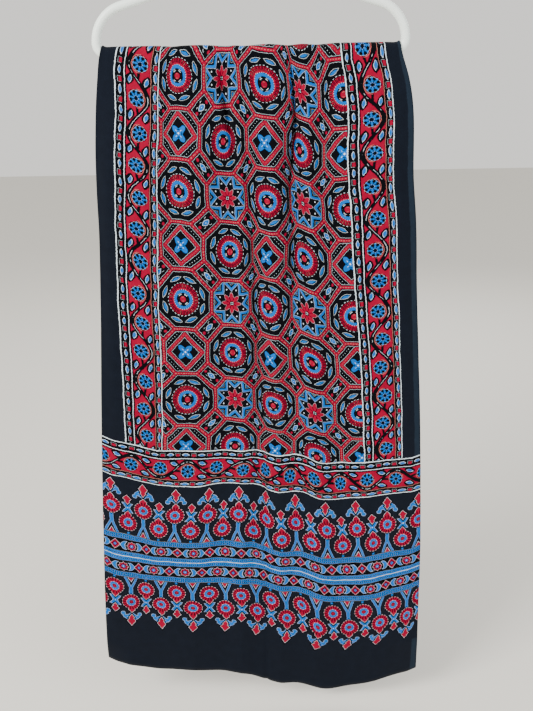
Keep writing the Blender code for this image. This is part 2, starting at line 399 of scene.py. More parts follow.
class Lattice(Pattern):
    """The field's print: a net of red bands around octagons, stars, squares and oblongs."""

    half = 81.0
    first_column = 136.4
    octagon = 45.4
    octagon_diagonal = 44.0
    short_side = 20.2
    leaf_ring = 32.4
    leaf_lean = math.radians(21)
    petals = 28.0
    diamond = 20.2
    dotted_strip = 28.9

    def __init__(self, printing: Printing) -> None:
        """Folds the cloth's place into one eighth of the lattice's repeat."""
        super().__init__(printing)
        x = (printing.across - self.first_column).folded(self.half)
        y = (printing.from_hem - HALF_LENGTH_MM).folded(self.half)
        past = (x + y - self.half).high(0.0)
        self.x = x - past
        self.y = y - past
        self.slant = (self.x - self.y) * SQRT_HALF
        self.out = (self.x + self.y) * SQRT_HALF
        octagon = (self.x.high(self.y) - self.octagon).high(self.out - self.octagon_diagonal)
        short = abs(self.slant) - self.short_side
        self.net = abs(octagon).low(abs(short).high(self.octagon_diagonal - self.out))
        self.in_octagon = octagon
        self.out_of_octagon = 0.0 - octagon

    def print_rosette(self) -> None:
        """Prints the octagon's rosette and its eight leaves."""
        stamp, trace, dyes = self.stamp, self.trace, self.dyes
        self.printing.within = self.in_octagon
        reach = self.x.span(self.y)
        turn = self.y.angle(self.x)
        lean = turn.folded(math.pi / 4) - self.leaf_lean
        along = reach * lean.sine()
        off = reach * lean.cosine() - self.leaf_ring
        run = along * along
        trace(dyes.white, (abs(off) / 3.5 + run / 108.0 - 1.0) * 2.6)
        trace(dyes.black, (abs(off) / 2.7 + run / 82.0 - 1.0) * 2.2)
        stamp(dyes.indigo, (abs(off + 0.4) / 1.9 + run / 52.0 - 1.0) * 1.8)
        petal = turn.folded(math.pi / self.petals) * reach
        dots = (turn * self.petals).cosine()
        trace(dyes.white, (abs(reach - 25.6 + petal * 0.3) - 0.42).high(dots * 0.8))
        stamp(dyes.madder, abs(reach + petal * 0.45 - 20.0) - 4.3)
        trace(dyes.black, (abs(petal - 0.95) - 0.38).high(abs(reach - 21.8) - 3.8))
        ticks = (petal - 0.22).high(abs(reach - 21.0) - 2.6)
        trace(dyes.rosy, ticks.high((0.56 - self.printing.patches) * 12.0))
        trace(dyes.white, (abs(reach - 15.2) - 0.35).high(dots * 0.7))
        stamp(dyes.indigo, abs(reach - 12.5) - 2.1)
        broken = (turn * 5.0 + self.printing.patches * 6.0).sine()
        trace(dyes.white, (abs(reach - 10.6 + broken * 1.2) - 0.3).high(0.3 - broken))
        trace(dyes.white, (abs(reach - 7.9) - 0.45).high((turn * 5.0).sine() * 0.8))
        stamp(dyes.madder, reach - 4.6)
        trace(dyes.rosy, (abs(self.x.span(self.y - 1.2) - 2.2) - 0.3).high(self.x - 1.6))

    def print_star(self) -> None:
        """Prints the star cell: a red flower between blue chevrons and black kites."""
        stamp, trace, outline, dyes = self.stamp, self.trace, self.outline, self.dyes
        self.printing.within = self.out_of_octagon.high(self.short_side - self.slant)
        from_star = self.half - self.x
        reach = from_star.span(self.y)
        turn = self.y.angle(from_star)
        wedge = turn.folded(math.pi / 8)
        radial = reach * wedge.cosine()
        aside = reach * wedge.sine()
        chevron = (radial - 18.4 - aside * 0.95) * 0.72
        stamp(dyes.indigo, abs(chevron - 2.1) - 1.8)
        trace(dyes.white, abs(chevron) - 0.24)
        trace(dyes.white, abs(chevron - 6.6) - 0.2)
        stamp(dyes.indigo, abs(chevron - 8.6) - 0.6)
        spread = math.pi / 8 - wedge
        kite_out = reach * spread.cosine()
        kite_side = reach * spread.sine()
        stamp(dyes.white, (kite_out - 22.4).span(kite_side) - 1.15)
        flower = reach - 13.4 - (turn * 8.0).cosine() * 3.2
        outline(dyes.madder, flower, 0.4)
        trace(dyes.black, (kite_side - 0.25).high(abs(reach - 8.4) - 3.4))
        stamp(dyes.black, reach - 3.7)
        trace(dyes.white, (abs(reach - 2.0) - 0.6).high((turn * 8.0).sine() * 0.7))

    def print_square(self) -> None:
        """Prints the square cell: a red diamond with a blue flower and dotted strips around it."""
        stamp, trace, dyes = self.stamp, self.trace, self.dyes
        self.printing.within = self.out_of_octagon.high(self.short_side + self.slant)
        up = self.half - self.y
        out = (self.x + up) * SQRT_HALF
        run = (self.x - up) * SQRT_HALF
        trace(dyes.white, abs(out - 24.0) - 0.28)
        dots = run.folded(2.4).span((out - self.dotted_strip).folded(2.0)) - 0.55
        trace(dyes.white, dots.high(abs(out - self.dotted_strip) - 3.0))
        stamp(dyes.madder, abs(out - self.diamond) - 2.45)
        trace(dyes.rosy, (abs(out - self.diamond) - 0.3).high(run.folded(2.1) - 0.7))
        trace(dyes.white, abs(out - 16.4) - 0.28)
        reach = self.x.span(up)
        turn = up.angle(self.x)
        stamp(dyes.indigo, reach - 10.6 + (turn * 4.0).cosine() * 3.8)
        trace(dyes.black, (abs(reach - 5.4) - 0.45).high(0.35 - (turn * 4.0).cosine()))
        trace(dyes.white, (abs(self.x - up) - 0.5).high(abs(reach - 5.6) - 1.6))
        stamp(dyes.white, reach - 1.5)

    def print_oblong(self) -> None:
        """Prints the oblong cell: a blue eye between two red dots."""
        stamp, trace, dyes = self.stamp, self.trace, self.dyes
        self.printing.within = self.out_of_octagon.high(abs(self.slant) - self.short_side)
        side = self.half * SQRT_HALF - self.out
        run = self.slant
        curl = (run - 5.0).span(side - 3.6)
        trace(dyes.white, (abs(curl - 3.0) - 0.32).high(run - 6.4))
        tail = (run + 7.0).span(side - 1.4)
        trace(dyes.white, (abs(tail - 3.4) - 0.3).high(0.0 - run - 8.6))
        eye = run * run
        stamp(dyes.black, (side / 5.2 + eye / 92.0 - 1.0) * 3.0)
        trace(dyes.white, (side / 4.1 + eye / 60.0 - 1.0) * 2.6)
        stamp(dyes.indigo, (side / 3.4 + eye / 46.0 - 1.0) * 2.2)
        stamp(dyes.white, run.span(side) - 0.7)
        stamp(dyes.madder, (abs(run) - 12.6).span(side) - 2.4)

    def print_net(self) -> None:
        """Prints the red net with its dotted core and white edges."""
        stamp, trace, dyes = self.stamp, self.trace, self.dyes
        self.printing.within = None
        stamp(dyes.black, self.net - 4.6)
        trace(dyes.white, abs(self.net - 3.95) - 0.27)
        stamp(dyes.madder, self.net - 2.2)
        beside = ((abs(self.slant) - self.short_side) * 1.06).cosine()
        beyond = ((self.out - self.octagon_diagonal) * 1.06).cosine()
        trace(dyes.rosy, (self.net - 0.5).high(0.45 - beside * beyond))

    def print_all(self) -> None:
        """Prints the whole field, each cell kept to its own ground."""
        self.print_rosette()
        self.print_star()
        self.print_square()
        self.print_oblong()
        self.print_net()


class BorderLine(Pattern):
    """A border's print: a flowering vine on red between two chains of blue lozenges."""

    flower_pitch = 46.8
    chain_pitch = 26.0
    chain_start = 6.8
    band_middle = 33.6
    band_half = 16.0
    vine_swing = 13.4
    white_lines = ((1.4, 0.85), (15.0, 0.6), (61.3, 0.7))
    rosy_line = (50.6, 0.35)

    def __init__(self, printing: Printing, inward: Reading, along: Reading, start: float) -> None:
        """Takes the place inward from the border's outer line and along it, in millimetres."""
        super().__init__(printing)
        self.inward = inward
        self.along = along - start

    def print_chain(self, middle: float, length: float) -> None:
        """Prints a chain of lozenges, red squares and white brackets.

        Args:
            middle: The chain's place inward, in millimetres.
            length: Half a lozenge's length, in millimetres.
        """
        stamp, trace, dyes = self.stamp, self.trace, self.dyes
        side = self.inward - middle
        step = (self.along + self.chain_start).wrapped(self.chain_pitch) - self.chain_pitch / 2
        run = step * step
        trace(dyes.white, (abs(side) / 2.3 + run / length**2 - 1.0) * 2.2)
        stamp(dyes.indigo, (abs(side - 0.2) / 1.9 + run / (length - 1.2) ** 2 - 1.0) * 1.8)
        past = abs(abs(step) - self.chain_pitch / 2 + 1.0)
        bracket = abs(abs(side).high(past) - 3.0) - 0.2
        trace(dyes.white, bracket.high(side - 2.0))
        stamp(dyes.madder, abs(side - 0.6).high(abs(past - 0.2)) - 2.0)

    def print_lines(self) -> None:
        """Prints the white lines that bound the chains."""
        stamp, dyes = self.stamp, self.dyes
        place, half = self.rosy_line
        stamp(dyes.rosy, abs(self.inward - place) - half)
        for place, half in self.white_lines:
            stamp(dyes.white, abs(self.inward - place) - half)

    def print_vine(self) -> None:
        """Prints the red band, its flowers, and the vine that swings between them."""
        stamp, trace, outline, dyes = self.stamp, self.trace, self.outline, self.dyes
        side = self.inward - self.band_middle
        stamp(dyes.madder, abs(side) - self.band_half)
        turn = self.along * (math.pi / self.flower_pitch)
        swing = turn.cosine()
        drift = turn.sine() * swing
        vine = side - swing * self.vine_swing
        near = self.along.folded(self.flower_pitch / 2)
        crossing = self.flower_pitch / 2 - near
        rise = self.along.wrapped(self.flower_pitch) - self.flower_pitch * 0.67
        off = side + swing * 2.4
        stamp(dyes.black, (abs(off) - 1.6).high(abs(rise) - 8.0))
        stamp(dyes.black, abs(vine) - 3.3)
        trace(dyes.white, (abs(vine - 0.3) - 0.36).high((0.5 - self.printing.patches) * 9.0))
        leaf_side = abs(side + drift * 4.0) - 11.0
        leaf = abs(leaf_side) / 2.9 + crossing * crossing / 40.0 - 1.0
        shadow = abs(leaf_side - 0.9) / 3.4 + crossing * crossing / 46.0 - 1.0
        stamp(dyes.black, shadow * 2.4 - 1.9)
        trace(dyes.white, leaf * 2.4 + 0.1)
        stamp(dyes.indigo, (abs(leaf_side - 0.2) / 2.4 + crossing * crossing / 28.0 - 1.0) * 1.8)
        reach = near.span(off)
        turn = off.angle(near)
        stamp(dyes.madder, reach - 12.4)
        beyond = (0.0 - off * swing).high(abs(reach - 12.2) - 0.3)
        trace(dyes.rosy, beyond)
        petals = reach - 9.6 - (turn * 8.0).cosine() * 0.7
        stamp(dyes.black, petals - 1.3)
        outline(dyes.indigo, petals, 0.35)
        aside = math.pi / 8 - turn.folded(math.pi / 8)
        ray_out = reach * aside.cosine()
        ray_side = reach * aside.sine()
        trace(dyes.black, (ray_side - 0.32).high(abs(reach - 5.2) - 2.6))
        trace(dyes.white, (ray_out - 9.0).span(ray_side) - 2.1)
        stamp(dyes.black, (ray_out - 8.4).span(ray_side) - 2.1)
        stamp(dyes.black, reach - 2.4)
        trace(dyes.white, (abs(reach - 3.1) - 0.22).high((turn * 8.0).sine() * 0.7))

    def print_all(self) -> None:
        """Prints the whole border."""
        self.print_vine()
        self.print_chain(8.3, 6.2)
        self.print_chain(56.7, 7.6)
        self.print_lines()


class EndPanel(Pattern):
    """The end panel's print: two rows of arches with flowers and buds, mirrored about a band."""

    pitch = 54.0
    middle = 147.6
    bands_depth = 40.0

    def __init__(self, printing: Printing, below: Reading) -> None:
        """Takes the printing and the place below the cross border, in millimetres."""
        super().__init__(printing)
        self.lower = below.over(self.middle)
        self.up = abs(below - self.middle)
        across = printing.across - 14.0 + self.lower * 24.0
        self.side = across.folded(self.pitch / 2)
        self.small_side = self.pitch / 2 - self.side
        self.height = self.up - self.bands_depth
        self.strip_along = printing.across + 8.0 + self.lower * 14.0

    def print_stems(self) -> None:
        """Prints the blue stems that part into legs over the band."""
        stamp, trace, outline, dyes = self.stamp, self.trace, self.outline, self.dyes
        height = self.height
        small_side = self.small_side
        leg = abs(self.side - (10.4 - height * 0.42).high(1.0)) * 0.92 - 1.75
        leg = leg.high(height - 40.0)
        stamp(dyes.black, (leg - 1.7).high(height - 40.0))
        outline(dyes.indigo, leg, 0.25)
        wedge = self.side * 1.7 + height - 11.0
        trace(dyes.white, wedge.high(1.2 - height))
        stamp(dyes.madder, (wedge + 0.9).high(1.6 - height))
        stamp(dyes.indigo, (small_side - 1.8).high(height - 5.0))

    def print_flower(self, side: Reading, height: Reading, tip: float) -> None:
        """Prints a round flower with a pointed top petal.

        Args:
            side: The distance from the flower's middle line.
            height: The height over its centre.
            tip: How high its top petal reaches.
        """
        stamp, trace, outline, dyes = self.stamp, self.trace, self.outline, self.dyes
        reach = side.span(height)
        turn = side.angle(height)
        petals = (turn * 9.0).cosine()
        round_edge = reach - 13.6 - abs(petals) * 1.9
        point = ((side + height - tip) * 0.7).high(side - 5.6)
        edge = round_edge.low(point.high(8.0 - height))
        stamp(dyes.black, edge - 2.2)
        outline(dyes.madder, edge, 0.45)
        trace(dyes.black, (abs(petals) * 1.5 - 0.55).high(abs(reach - 12.4) - 3.0))
        trace(dyes.white, (abs(reach - 8.0) - 0.3).high(petals * 0.6 - 0.2))
        stamp(dyes.indigo, abs(reach - 5.8) - 1.8)
        trace(dyes.white, (abs(reach - 3.9) - 0.25).high(petals * 0.6 - 0.2))
        stamp(dyes.black, reach - 3.6)
        stamp(dyes.madder, reach - 2.7)

    def print_bud(self, side: Reading, height: Reading, size: float, half: float) -> None:
        """Prints a red bud, a pointed lozenge over a narrower foot.

        Args:
            side: The distance from its middle line.
            height: The height over its foot.
            size: Its height.
            half: Half its width.
        """
        stamp, outline, dyes = self.stamp, self.outline, self.dyes
        head = (side / half + abs(height - size * 0.6) / (size * 0.4) - 1.0) * half * 0.75
        foot = (side / half + abs(height - size * 0.3) / (size * 0.3) * 0.6 - 0.6) * half * 0.8
        bud = head.low(foot)
        stamp(dyes.black, bud - 2.2)
        outline(dyes.madder, bud, 0.45)

    def print_leaves(self) -> None:
        """Prints the curled pair over each large flower and the crossed pair over each small one."""
        trace, outline, dyes = self.trace, self.outline, self.dyes
        height = self.height
        bow = self.side - 8.6
        curl = abs(height - 84.6 + bow * bow / 9.0) * 0.8 - 2.9
        wing = curl.high(self.side - 14.5).low((self.side - 14.2).span(height - 78.0) - 3.5)
        leaf = wing.low(((self.side - 7.4) / 0.8).span(height - 85.6) - 4.2).high(75.0 - height)
        outline(dyes.indigo, leaf, 0.4)
        vein = abs(self.side * 0.9 + 78.6 - height) - 0.3
        trace(dyes.white, vein.high(abs(self.side - 5.0) - 3.6))
        small_side = self.small_side
        rise = height - 52.0
        cross = (abs(small_side - abs(rise) * 0.7) * 0.8 - 2.4).high(abs(rise) - 8.8)
        outline(dyes.indigo, cross, 0.4)
        trace(dyes.white, small_side.span(rise) - 0.9)

    def print_bands(self) -> None:
        """Prints the dotted blue bands and the strips of rosettes and diamonds between them."""
        stamp, trace, outline, dyes = self.stamp, self.trace, self.outline, self.dyes
        stamp(dyes.black, self.up - 41.4)
        dots = self.printing.across.folded(1.7)
        for low, high, rows in ((1.0, 7.4, (4.2,)), (31.4, 39.6, (33.9, 37.1))):
            stamp(dyes.indigo, abs(self.up - (low + high) / 2) - (high - low) / 2)
            for row in rows:
                stamp(dyes.black, abs(self.up - row) - 0.4, 0.6)
                trace(dyes.white, dots.span(self.up - row) - 0.42)
        for line, half in ((0.0, 0.6), (8.0, 0.16), (30.8, 0.16), (40.4, 0.2)):
            trace(dyes.white, abs(self.up - line) - half)
        rise = self.up - 19.4
        beside = self.strip_along.folded(self.pitch / 2)
        rosette = beside.span(rise)
        turn = rise.angle(beside)
        diamond_side = self.pitch / 2 - beside
        diamond = (diamond_side + abs(rise)) * 0.71
        edge = rosette - 7.4 - (turn * 8.0).cosine() * 0.9
        outline(dyes.madder, edge, 0.4)
        trace(dyes.black, (rosette - 5.2).high(0.5 - (turn * 8.0).sine()))
        stamp(dyes.indigo, rosette - 2.9)
        stamp(dyes.white, rosette - 0.8)
        trace(dyes.white, diamond - 6.7)
        stamp(dyes.madder, diamond - 6.3)
        trace(dyes.black, abs(diamond - 3.1) - 0.4)
        stamp(dyes.indigo, diamond - 2.0)
        half = self.pitch / 4
        crescent = abs(beside - half - 1.4 + rise * rise / 12.0) - 3.4 + abs(rise) * 0.14
        trace(dyes.white, (crescent - 0.5).high(abs(rise) - 7.6))
        stamp(dyes.indigo, crescent.high(abs(rise) - 7.2))

    def print_all(self) -> None:
        """Prints the whole panel."""
        height = self.height
        small_side = self.small_side
        self.print_stems()
        self.print_leaves()
        self.print_bud(self.side, height - 79.4, 23.6, 7.4)
        self.print_bud(small_side, height - 58.4, 17.6, 6.8)
        self.print_flower(self.side, height - 53.0, 22.8)
        self.print_flower(small_side, height - 23.4, 21.8)
        self.print_bands()


class Stretch(Enum):
    """The stretches of the stole, in the order of its materials."""

    PLAIN = 0
    FIELD = 1
    SIDE_BORDER = 2
    CROSS_BORDER = 3
    END_PANEL = 4
    REVERSE = 5


@dataclass(frozen=True)
class Fold:
    """One lengthwise fold: where it lies across the cloth and how much width it takes in."""

    at_bar: float
    at_hem: float
    spread: float
    taken: tuple[float, ...]


@dataclass(frozen=True)
class Crease:
    """One sharp crease: its places down the cloth and across it, and its depth there."""

    falls: tuple[float, ...]
    across: tuple[float, ...]
    depths: tuple[float, ...]
    half_width: float


@dataclass
class Stole:
    """The cotton stole: its cut, how it lies on the bar, its folds, and its print."""

    cotton: BlockPrintedCotton
    bar_height: float
    width: float = 0.558
    length: float = STOLE_LENGTH
    thickness: float = 0.0006
    # The tube's radius, the play over it, and half of the solid's thickness
    bend_radius: float = 0.0064 + 0.0005 + 0.0005
    # The bar's ends rise where the tube turns up, and lift the cloth's edges
    end_rise_from: float = 0.199
    end_rise: float = 45.0
    side_borders: tuple[tuple[float, float], ...] = ((0.034, 0.0964), (0.4634, 0.5258))
    cross_border: tuple[float, float] = (0.376, 0.441)
    panel_depth: float = 0.300
    # Where the selvedge's paler stripe starts, and where the border's block was first set down
    selvedge_stripe_mm: float = 547.0
    side_block_start_mm: float = 976.4
    cross_block_start_mm: float = -0.3
    # The block's width over that of the cross border
    cross_block_share: float = 62.4 / 65.0
    hem_zone: float = 0.380
    fold_depth_factor: float = 0.34
    ridge_margin: float = 1.08
    fold_start_share: float = 0.12
    fold_full_fall: float = 0.18
    back_fold_share: float = 0.85
    back_fold_drift: float = 0.030
    curl_reaches: tuple[float, float] = (0.040, 0.075)
    curl_back: float = 0.008
    curl_up: float = 0.003
    soft_from: float = 0.10
    pressed_line_depth: float = 0.0009
    pressed_line_half_width: float = 0.0022
    # Length of cloth in front by its place across, because the stole was laid unevenly
    front_lengths: tuple[tuple[float, float], ...] = (
        (0.000, 1.029), (0.035, 1.036), (0.095, 1.053), (0.140, 1.057), (0.215, 1.054),
        (0.250, 1.056), (0.290, 1.068), (0.350, 1.074), (0.400, 1.086), (0.460, 1.082),
        (0.510, 1.074), (0.558, 1.073),
    )
    # Where the left selvedge hangs, by the fall
    left_edges: tuple[tuple[float, float], ...] = (
        (0.00, -0.2070), (0.02, -0.2125), (0.05, -0.2170), (0.12, -0.2240), (0.20, -0.2285),
        (0.26, -0.2300), (0.36, -0.2360), (0.58, -0.2515), (0.76, -0.2635), (0.94, -0.2737),
        (1.06, -0.2780),
    )
    # How much higher the front hem hangs, by the place across
    hem_lifts: tuple[tuple[float, float], ...] = (
        (0.000, -0.002), (0.136, 0.008), (0.217, -0.002), (0.298, -0.011), (0.380, -0.012),
        (0.460, -0.004), (0.520, 0.002), (0.558, 0.008),
    )
    # How far the hand-set blocks wandered, in millimetres across and along, by the place across
    # the cloth and the height over the hem
    block_columns: tuple[float, ...] = (0.0, 0.034, 0.0964, 0.1364, 0.2174, 0.2984, 0.3794, 0.4634,
                                        0.5258, 0.558)
    block_rows: tuple[float, ...] = (1.0152, 0.9342, 0.8532, 0.7722, 0.6912, 0.6102, 0.5292, 0.4482,
                                     0.3672, 0.2862, 0.2052, 0.1242)
    slips_across: tuple[tuple[float, ...], ...] = (
        (0.0, -3.0, -0.5, -1.7, -12.0, -1.4, -6.0, -3.0, 1.5, 0.0),
        (0.0, 0.5, 1.0, 0.3, -11.1, -3.8, -9.5, -4.5, 1.0, 0.0),
        (0.0, 0.5, 0.5, -1.5, -7.2, -2.1, -5.0, -3.5, 1.5, 0.0),
        (0.0, -1.5, -0.5, -2.9, -6.1, -6.9, -7.2, -4.0, 1.0, 0.0),
        (0.0, 1.0, 2.0, -0.4, -4.0, -3.3, -3.9, -1.5, 2.0, 0.0),
        (0.0, 3.0, 4.5, 1.6, -1.7, -0.8, 1.3, 1.0, 2.0, 0.0),
        (0.0, 4.5, 4.5, 3.7, 1.9, 4.2, 2.3, 1.0, 2.0, 0.0),
        (0.0, 5.0, 3.5, 0.9, 2.9, 5.9, 3.3, 1.0, 1.5, 0.0),
        (0.0, 0.0, 0.0, 0.0, 0.0, 1.0, 2.0, 2.0, 0.0, 0.0),
        (0.0, 2.0, -2.0, -2.0, -1.0, 3.0, 5.0, 5.0, -1.0, 0.0),
        (0.0, 2.0, -1.0, -1.0, 2.0, 6.0, 9.0, 10.0, 5.0, 0.0),
        (0.0, 2.0, 0.0, 0.0, 6.0, 10.0, 14.0, 16.0, 9.0, 0.0),
    )
    slips_along: tuple[tuple[float, ...], ...] = (
        (0.0, -2.6, -1.5, 0.3, -6.9, -0.5, 0.0, -3.0, -6.0, 0.0),
        (0.0, -2.8, 0.0, 3.8, -13.1, -0.1, -1.5, -3.0, -5.0, 0.0),
        (0.0, 1.0, 2.0, 3.5, -11.9, -0.9, 5.0, -2.0, -5.5, 0.0),
        (0.0, 1.5, 3.0, 5.0, -10.4, -4.6, 2.8, -2.5, -4.5, 0.0),
        (0.0, -2.0, 1.0, 4.1, -8.5, 0.3, 0.6, -3.0, -6.0, 0.0),
        (0.0, 1.2, 1.0, 0.7, -7.0, -3.7, 2.8, -1.5, -3.0, 0.0),
        (0.0, -2.0, 0.0, 3.0, -2.7, 0.6, 0.1, -2.0, -4.5, 0.0),
        (0.0, -0.5, 0.5, 3.2, -4.8, 3.4, 3.8, 0.0, -2.0, 0.0),
        (0.0, 0.0, 0.0, 0.0, 0.0, -1.0, -1.0, -1.0, -1.0, 0.0),
        (0.0, 1.0, 1.0, 0.0, -1.0, -4.0, -4.0, -6.0, -4.0, 0.0),
        (0.0, -3.0, 1.0, 0.0, -3.0, 2.0, -5.0, -12.0, -5.0, 0.0),
        (0.0, -1.0, 4.0, 0.0, -2.0, 2.0, -9.0, -13.0, -8.0, 0.0),
    )
    # The falls where each fold's taken-in widths are given, and the folds from left to right
    fold_falls: tuple[float, ...] = (0.00, 0.05, 0.20, 0.36, 0.58, 0.82, 1.06)
    folds: tuple[Fold, ...] = (
        Fold(0.000, 0.000, 0.060, (0.0110, 0.0085, 0.0075, 0.0090, 0.0020, 0.0010, 0.0)),
        Fold(0.116, 0.116, 0.070, (0.0180, 0.0150, 0.0080, 0.0010, 0.0, 0.0, 0.0)),
        Fold(0.212, 0.200, 0.100, (0.0230, 0.0190, 0.0120, 0.0080, 0.0060, 0.0030, 0.0010)),
        Fold(0.262, 0.279, 0.100, (0.0240, 0.0210, 0.0230, 0.0250, 0.0200, 0.0090, 0.0030)),
        Fold(0.352, 0.345, 0.100, (0.0330, 0.0305, 0.0280, 0.0220, 0.0120, 0.0050, 0.0020)),
        Fold(0.420, 0.428, 0.096, (0.0240, 0.0200, 0.0160, 0.0110, 0.0070, 0.0030, 0.0010)),
        Fold(0.558, 0.558, 0.060, (0.0110, 0.0060, 0.0025, 0.0025, 0.0015, 0.0010, 0.0)),
    )
    # The sharp creases, all in the front
    creases: tuple[Crease, ...] = (
        Crease((0.015, 0.05, 0.09, 0.13, 0.17, 0.24), (0.2036, 0.2042, 0.2138, 0.2226, 0.2260, 0.230),
               (0.0, 0.0075, 0.0120, 0.0105, 0.0055, 0.0), 0.0060),
        Crease((0.010, 0.04, 0.08, 0.12, 0.17, 0.22, 0.28, 0.36, 0.46),
               (0.3537, 0.3550, 0.3562, 0.3590, 0.3440, 0.3350, 0.3380, 0.3410, 0.3430),
               (0.0, 0.0070, 0.0115, 0.0110, 0.0085, 0.0075, 0.0055, 0.0035, 0.0), 0.0062),
        Crease((0.10, 0.22, 0.34, 0.47, 0.63, 0.79, 0.94, 1.09),
               (0.2521, 0.2543, 0.2596, 0.2737, 0.2812, 0.2830, 0.2850, 0.2860),
               (0.0, 0.0022, 0.0032, 0.0026, 0.0024, 0.0024, 0.0024, 0.0024), 0.0038),
        Crease((0.01, 0.04, 0.08, 0.14, 0.24), (0.300, 0.302, 0.300, 0.297, 0.292),
               (0.0, 0.0028, 0.0030, 0.0016, 0.0), 0.0050),
        Crease((0.01, 0.04, 0.08, 0.14), (0.420, 0.424, 0.428, 0.430),
               (0.0, 0.0028, 0.0026, 0.0), 0.0050),
    )

    def slipped(self, across: np.ndarray, from_hem: np.ndarray) -> tuple[np.ndarray, np.ndarray]:
        """Gives where the cloth took each place of the print, because the blocks were set by hand.

        Args:
            across: Places across the print.
            from_hem: Their heights over the hem in the print.

        Returns:
            The places across the cloth and over its hem.
        """
        moved = [across.copy(), from_hem.copy()]
        step = self.block_rows[0] - self.block_rows[1]
        for row, *slips in zip(self.block_rows, self.slips_across, self.slips_along):
            share = np.cos(math.pi / 2 * np.clip((from_hem - row) / step, -1.0, 1.0)) ** 2
            for i in range(2):
                table = list(zip(self.block_columns, slips[i]))
                moved[i] += share * read_table(table, across) / 1000
        return moved[0], moved[1]

    def fold_place(self, fold: Fold, fall: np.ndarray) -> np.ndarray:
        """Gives where a fold's middle lies across the cloth at each fall."""
        inside = 0.0 < fold.at_bar < self.width
        drift = self.back_fold_drift * (fold.at_bar / self.width - 0.5) if inside else 0.0
        way = np.minimum(np.abs(fall) / self.fold_falls[-1], 1.0)
        return fold.at_bar + (fold.at_hem - fold.at_bar + np.where(fall < 0, drift, 0.0)) * way

    def taken_in(self, fold: Fold, fall: np.ndarray) -> np.ndarray:
        """Gives the width that a fold takes in at each fall."""
        rows = list(zip(self.fold_falls, fold.taken))
        return np.maximum(read_table(rows, np.abs(fall)), 0.0)

    def hang_across(self, across: np.ndarray, fall: np.ndarray) -> np.ndarray:
        """Gives where each place across the cloth hangs in X.

        Args:
            across: Places from the left selvedge.
            fall: The cloth's length down from the crest there.

        Returns:
            The X of each place.
        """
        x = read_table(self.left_edges, np.abs(fall)) + across
        for fold in self.folds:
            centre = self.fold_place(fold, fall)
            shares = []
            for place in (0.0, self.width, across):
                s = np.clip((place - centre) / fold.spread, -0.5, 0.5)
                shares.append(s + 0.5 + np.sin(2 * math.pi * s) / (2 * math.pi))
            low, high, here = shares
            x = x - self.taken_in(fold, fall) * (here - low) / (high - low)
        return x

    def stand_out(self, across: np.ndarray, fall: np.ndarray) -> np.ndarray:
        """Gives how far the cloth stands out from the bar's tangent plane, 0 in the deepest fold.

        Args:
            across: Places from the left selvedge.
            fall: The cloth's length down from the crest there.

        Returns:
            The distance outward at each place.
        """
        deepest = np.zeros_like(across)
        together = np.zeros_like(across)
        for fold in self.folds:
            depth = self.fold_depth_factor * np.sqrt(self.taken_in(fold, fall) * fold.spread)
            s = np.clip((across - self.fold_place(fold, fall)) / fold.spread, -0.5, 0.5)
            deepest = np.maximum(deepest, depth)
            together += (depth * (0.5 + 0.5 * np.cos(2 * math.pi * s))) ** 3
        start = smooth_step(np.abs(fall) / self.fold_full_fall)
        grown = self.fold_start_share + (1 - self.fold_start_share) * start
        side = 1.0 + np.where(fall < 0, self.back_fold_share - 1.0, 0.0) * start
        return np.maximum(self.ridge_margin * deepest - np.cbrt(together), 0.0) * grown * side

    def rumple(self, across: np.ndarray, fall: np.ndarray) -> np.ndarray:
        """Gives the fine creases and soft unevenness of the cloth's face, in metres outward.

        Args:
            across: Places from the left selvedge.
            fall: The cloth's length down from the crest there.

        Returns:
            The distance outward at each place.
        """
        soft = 0.0007 * np.sin(across * 41 + fall * 9) * np.sin(fall * 23 - across * 15)
        soft += 0.0004 * np.sin(across * 97 - fall * 31 + 1.0) * np.sin(fall * 57 + across * 40)
        sharp = np.zeros_like(soft)
        for crease in self.creases:
            place = read_table(list(zip(crease.falls, crease.across)), fall)
            depth = read_table(list(zip(crease.falls, crease.depths)), fall)
            sharp -= np.where(fall > crease.falls[0], np.maximum(depth, 0.0), 0.0) * np.exp(
                -((across - place) / crease.half_width) ** 2)
        from_hem = read_table(self.front_lengths, across) - fall
        from_line = (from_hem - self.length / 4) / self.pressed_line_half_width
        cross = -self.pressed_line_depth * np.exp(-from_line**2)
        return soft * smooth_step(np.abs(fall) / self.soft_from) + sharp + cross

    def hang(self, across: np.ndarray, fall: np.ndarray) -> np.ndarray:
        """Puts places of the flat cloth where they hang.

        Args:
            across: Places from the left selvedge.
            fall: The cloth's length down from the crest there.

        Returns:
            The points, one row each.
        """
        front = read_table(self.front_lengths, across)
        x = self.hang_across(across, fall)
        reach = self.bend_radius + self.stand_out(across, fall) + self.rumple(across, fall)
        end = np.maximum(np.abs(self.hang_across(across, np.zeros_like(fall))) - self.end_rise_from, 0)
        crest = self.bar_height + self.end_rise * end * end
        turn = np.clip(fall / self.bend_radius, -math.pi / 2, math.pi / 2)
        past = np.maximum(np.abs(fall) - self.bend_radius * math.pi / 2, 0.0)
        y = -reach * np.sin(turn)
        z = crest + reach * np.cos(turn) - past
        from_hem = front - fall
        hem = np.where(fall > 0, smooth_step(1 - from_hem / self.hem_zone), 0.0)
        z += read_table(self.hem_lifts, across) * hem
        for place, curl_reach in zip((across, self.width - across), self.curl_reaches):
            curl = np.maximum(0, 1 - place / curl_reach) * np.maximum(0, 1 - from_hem / curl_reach)
            curl = np.where(fall > 0, curl, 0.0)
            y += self.curl_back * curl
            z += self.curl_up * curl
        return np.stack([x, y, z], axis=-1)

